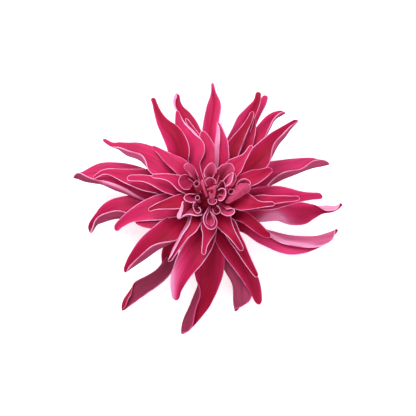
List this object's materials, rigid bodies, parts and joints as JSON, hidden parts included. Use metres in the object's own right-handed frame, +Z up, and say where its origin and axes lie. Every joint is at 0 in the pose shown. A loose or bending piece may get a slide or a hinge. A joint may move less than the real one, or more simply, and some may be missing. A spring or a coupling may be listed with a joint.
{
  "type": "dahlia flower head",
  "caption": "Cut dahlia head lying face up, with long pointed petals whose margins roll inward, quilled centre florets and a green calyx below",
  "frame": {"origin": "on the surface the head lies on, under the centre of its bounding box", "axes": "+Z up through the face of the bloom, +Y toward the petals seen at the top, +X toward the petals seen at the right"},
  "size_m": [0.1374, 0.1394, 0.0441],
  "materials": {
    "petal_pink": "matte living petal, crimson in the folds, pale at the rims, mauve underneath",
    "bract_green": "matte fleshy green"
  },
  "bodies": {
    "root": {"bloom": "petal_pink", "calyx": "bract_green"}
  },
  "joints": []
}
